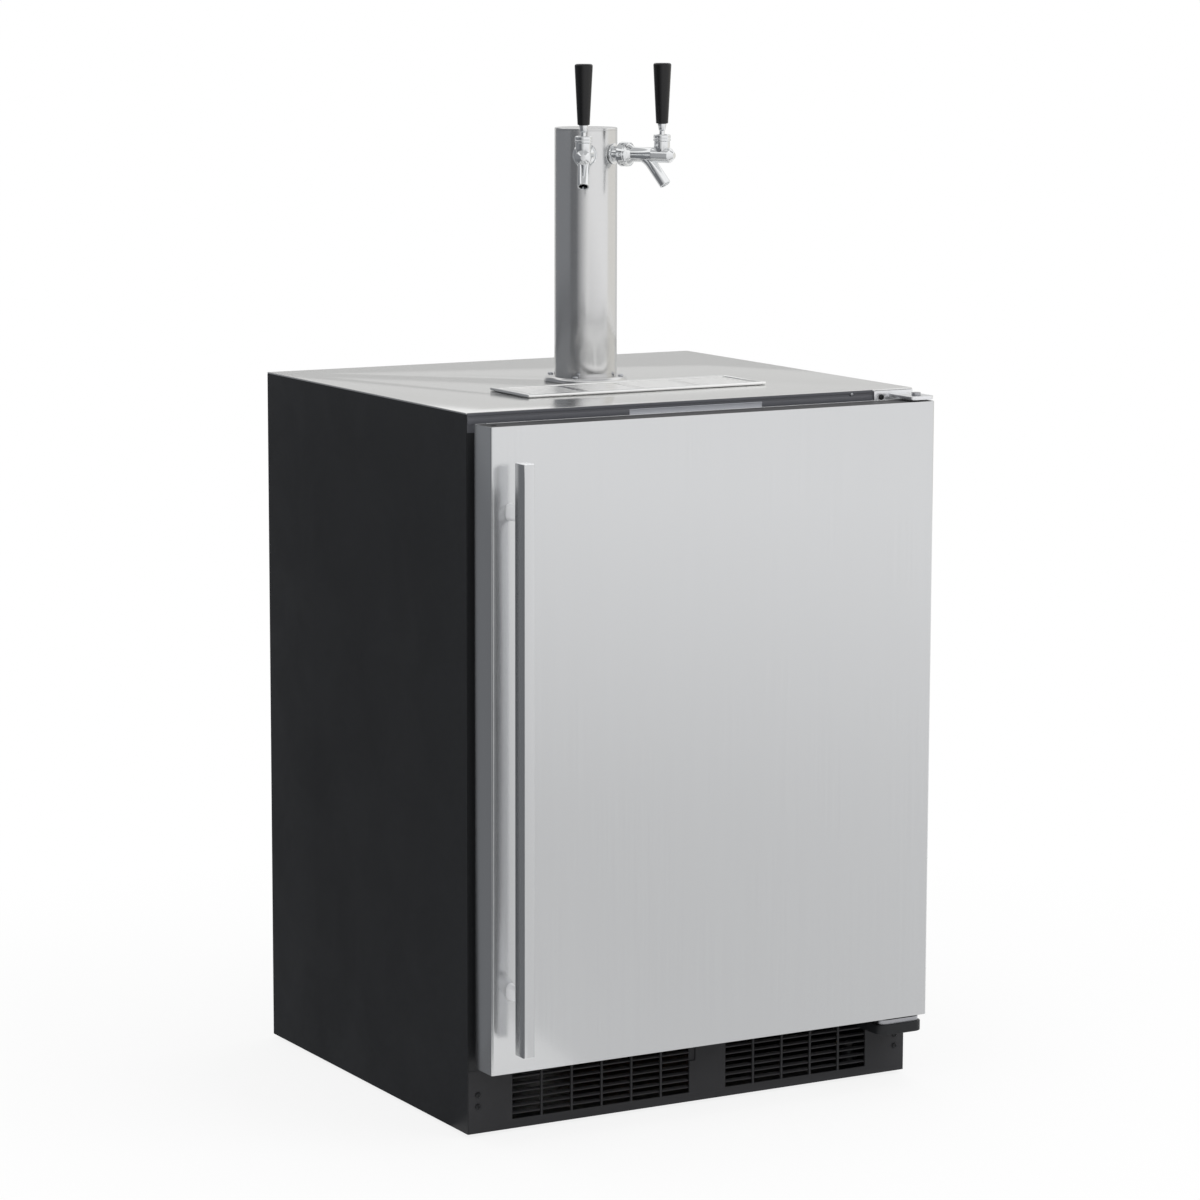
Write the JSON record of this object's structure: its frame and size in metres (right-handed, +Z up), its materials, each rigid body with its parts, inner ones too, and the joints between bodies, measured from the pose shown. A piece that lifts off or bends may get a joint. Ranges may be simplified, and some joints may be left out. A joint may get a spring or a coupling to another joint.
{
  "type": "draft beer dispenser",
  "caption": "Undercounter draft beer dispenser: dark cabinet with a steel door and bar handle, steel worktop with drip tray, and a round tower with faucets and black tap handles.",
  "frame": {"origin": "on the floor, under the middle of the bounding box", "axes": "+Z up, the door faces -Y, +X to the right as seen from the front, towards the hinges"},
  "size_m": [0.606, 0.631, 1.235],
  "materials": {
    "black_paint": "satin",
    "brushed_steel": "satin",
    "zinc_steel": "satin",
    "chrome": "polished",
    "black_plastic": "matte",
    "tap_black": "gloss",
    "grey_panel": "satin",
    "white_plastic": "satin",
    "lamp_lens": "gloss",
    "foam": "matte",
    "rubber": "matte",
    "aluminium": "satin",
    "copper": "satin",
    "brass": "satin",
    "vinyl": "satin"
  },
  "bodies": {
    "cabinet": {"left_side_panel": "black_paint", "right_side_panel": "black_paint", "rear_panel": "black_paint", "base_pan": "black_paint", "top_panel": "brushed_steel", "front_frame": "black_paint", "front_header": "black_plastic", "control_panel": "grey_panel", "inner_liner": "white_plastic", "cabinet_insulation": "foam", "toe_grille": "black_plastic", "cabinet_screws": "zinc_steel", "top_hinge_bracket": "zinc_steel", "bottom_hinge_bracket": "black_paint", "hinge_pins": "zinc_steel", "compressor": "black_paint", "condenser": "copper", "fan_shroud": "black_plastic", "fan_motors": "black_plastic", "evaporator": "aluminium", "evaporator_cover": "white_plastic", "interior_lamp": "lamp_lens", "power_gland": "rubber", "tower_flange": "brushed_steel", "tower_column": "brushed_steel", "tower_cap": "brushed_steel", "beer_lines": "vinyl", "line_unions": "chrome", "faucet_shanks": "chrome", "shank_nuts": "chrome", "left_faucet_body": "chrome", "right_faucet_body": "chrome", "lever_bonnets": "chrome", "gas_cylinder": "aluminium", "cylinder_valve": "brass", "gas_regulator": "brass", "regulator_gauges": "aluminium"},
    "door": {"door_skin": "brushed_steel", "door_end_caps": "black_plastic", "door_liner": "white_plastic", "door_insulation": "foam", "door_gasket": "rubber", "door_handle": "brushed_steel", "door_bushes": "black_plastic"},
    "left_tap": {"left_lever": "chrome", "left_tap_handle": "tap_black"},
    "right_tap": {"right_lever": "chrome", "right_tap_handle": "tap_black"},
    "left_valve": {"left_valve_shaft": "chrome"},
    "right_valve": {"right_valve_shaft": "chrome"},
    "tray": {"drip_tray": "brushed_steel"},
    "grate": {"drip_grate": "brushed_steel"},
    "condenser_blades": {"condenser_fan": "grey_panel"},
    "cooling_blades": {"cooling_fan": "grey_panel"},
    "handwheel": {"valve_handwheel": "black_plastic"},
    "pressure_knob": {"regulator_knob": "black_plastic"},
    "front_left_foot": {"foot_front_left": "rubber"},
    "front_right_foot": {"foot_front_right": "rubber"},
    "rear_left_foot": {"foot_rear_left": "rubber"},
    "rear_right_foot": {"foot_rear_right": "rubber"}
  },
  "joints": [
    {"name": "door_swing", "type": "hinge", "parent": "cabinet", "child": "door", "pos_m": [0.286, -0.2505, 0.4622], "axis": [0, 0, 1], "range_deg": [0, 115]},
    {"name": "left_lever_pull", "type": "hinge", "parent": "cabinet", "child": "left_tap", "pos_m": [-0.05392, -0.04295, 1.144], "axis": [0.859, -0.512, 0], "range_deg": [0, 30]},
    {"name": "left_valve_slide", "type": "slide", "parent": "cabinet", "child": "left_valve", "axis": [0.512, 0.859, 0], "range_m": [0, 0.0083]},
    {"name": "right_lever_pull", "type": "hinge", "parent": "cabinet", "child": "right_tap", "pos_m": [0.05392, -0.04295, 1.144], "axis": [0.859, 0.512, 0], "range_deg": [0, 30]},
    {"name": "right_valve_slide", "type": "slide", "parent": "cabinet", "child": "right_valve", "axis": [-0.512, 0.859, 0], "range_m": [0, 0.0083]},
    {"name": "tray_lift", "type": "slide", "parent": "cabinet", "child": "tray", "axis": [0, 0, 1], "range_m": [0, 0.1]},
    {"name": "grate_lift", "type": "slide", "parent": "tray", "child": "grate", "axis": [0, 0, 1], "range_m": [0, 0.05]},
    {"name": "condenser_fan_spin", "type": "hinge", "parent": "cabinet", "child": "condenser_blades", "pos_m": [0.13, 0.198, 0.091], "axis": [0, 1, 0], "continuous": true},
    {"name": "cooling_fan_spin", "type": "hinge", "parent": "cabinet", "child": "cooling_blades", "pos_m": [-0.081, 0.2385, 0.686], "axis": [0, 1, 0], "continuous": true},
    {"name": "handwheel_turn", "type": "hinge", "parent": "cabinet", "child": "handwheel", "pos_m": [0.166, 0.189, 0.69], "axis": [0, 0, 1], "range_deg": [0, 1080]},
    {"name": "pressure_knob_turn", "type": "hinge", "parent": "cabinet", "child": "pressure_knob", "pos_m": [0.092, 0.15, 0.664], "axis": [0, 1, 0], "range_deg": [0, 720]},
    {"name": "front_left_foot_level", "type": "slide", "parent": "cabinet", "child": "front_left_foot", "axis": [0, 0, -1], "range_m": [0, 0.02]},
    {"name": "front_right_foot_level", "type": "slide", "parent": "cabinet", "child": "front_right_foot", "axis": [0, 0, -1], "range_m": [0, 0.02]},
    {"name": "rear_left_foot_level", "type": "slide", "parent": "cabinet", "child": "rear_left_foot", "axis": [0, 0, -1], "range_m": [0, 0.02]},
    {"name": "rear_right_foot_level", "type": "slide", "parent": "cabinet", "child": "rear_right_foot", "axis": [0, 0, -1], "range_m": [0, 0.02]}
  ],
  "couplings": [
    {"joint": "left_valve_slide", "follows": "left_lever_pull", "m_per_rad": 0.01576},
    {"joint": "right_valve_slide", "follows": "right_lever_pull", "m_per_rad": 0.01576}
  ]
}
